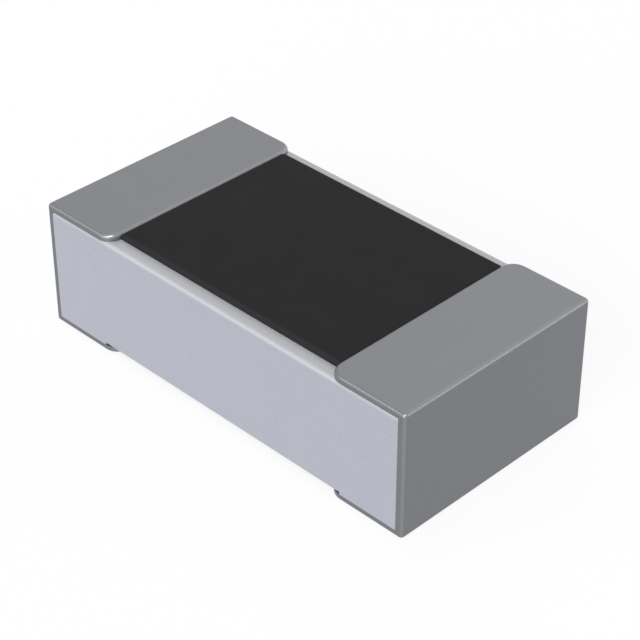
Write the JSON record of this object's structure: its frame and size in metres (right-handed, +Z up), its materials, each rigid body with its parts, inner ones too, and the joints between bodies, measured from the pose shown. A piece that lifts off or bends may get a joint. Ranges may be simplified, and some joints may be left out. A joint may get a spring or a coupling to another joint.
{
  "type": "chip resistor",
  "caption": "Rectangular surface-mount chip resistor: a pale ceramic body with a black coated top and metal end terminations that wrap from face to underside for soldering.",
  "frame": {"origin": "middle of the chip's body, half its height (0.225 mm) above the plane of the two solder faces", "axes": "+X along the chip from one termination to the other, +Y across it, +Z up through the coated face"},
  "size_m": [0.0016, 0.0008, 0.0004],
  "materials": {
    "alumina": "pale lavender grey fired alumina, dull and very slightly glossy",
    "resistor_paste": "dark fired resistive film",
    "glass_coat": "thin dark fired glass, not seen from outside",
    "black_resin": "flat matt black resin",
    "printed_silver": "dull fired silver",
    "silver_resin": "dull silver-filled resin",
    "nickel": "satin plated nickel",
    "tin": "even satin grey plated tin"
  },
  "bodies": {
    "root": {"substrate": "alumina", "resistor_film": "resistor_paste", "glass_coat": "glass_coat", "overcoat": "black_resin", "face_electrode_left": "printed_silver", "face_electrode_right": "printed_silver", "back_electrode_left": "printed_silver", "back_electrode_right": "printed_silver", "edge_electrode_left": "silver_resin", "edge_electrode_right": "silver_resin", "nickel_barrier_left": "nickel", "nickel_barrier_right": "nickel", "tin_termination_left": "tin", "tin_termination_right": "tin"}
  },
  "joints": []
}
